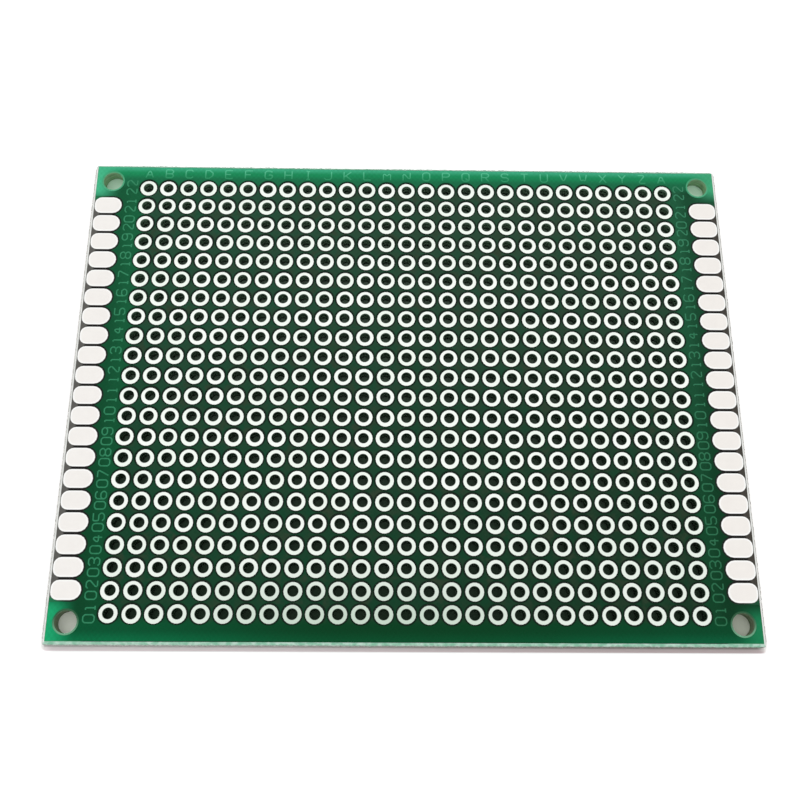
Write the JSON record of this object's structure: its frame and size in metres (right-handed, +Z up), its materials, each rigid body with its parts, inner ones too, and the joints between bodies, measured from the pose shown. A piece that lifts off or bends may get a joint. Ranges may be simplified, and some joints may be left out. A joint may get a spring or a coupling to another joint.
{
  "type": "prototype circuit board",
  "caption": "Flat double-sided prototype circuit board with green solder mask, a grid of tinned plated holes, tinned pads along both short edges and corner mounting holes.",
  "frame": {"origin": "middle of the board's underside, on the surface it lies on, level with the lower pads", "axes": "+X along the long side, +Y from the front edge (row 01) to the back edge, +Z up out of the labelled face"},
  "size_m": [0.08, 0.06, 0.0016],
  "materials": {
    "laminate": "glass-epoxy laminate, rough and fibrous on its broken edges",
    "solder_mask": "glossy green photo-imaged solder mask",
    "tin_plating": "hot-air-levelled tin over copper, bright"
  },
  "bodies": {
    "root": {"substrate": "laminate", "solder_mask_top": "solder_mask", "solder_mask_bottom": "solder_mask", "edge_pads_left_top": "tin_plating", "edge_pads_right_top": "tin_plating", "edge_pads_left_bottom": "tin_plating", "edge_pads_right_bottom": "tin_plating", "plated_holes_row_01": "tin_plating", "plated_holes_row_02": "tin_plating", "plated_holes_row_03": "tin_plating", "plated_holes_row_04": "tin_plating", "plated_holes_row_05": "tin_plating", "plated_holes_row_06": "tin_plating", "plated_holes_row_07": "tin_plating", "plated_holes_row_08": "tin_plating", "plated_holes_row_09": "tin_plating", "plated_holes_row_10": "tin_plating", "plated_holes_row_11": "tin_plating", "plated_holes_row_12": "tin_plating", "plated_holes_row_13": "tin_plating", "plated_holes_row_14": "tin_plating", "plated_holes_row_15": "tin_plating", "plated_holes_row_16": "tin_plating", "plated_holes_row_17": "tin_plating", "plated_holes_row_18": "tin_plating", "plated_holes_row_19": "tin_plating", "plated_holes_row_20": "tin_plating", "plated_holes_row_21": "tin_plating", "plated_holes_row_22": "tin_plating"}
  },
  "joints": []
}
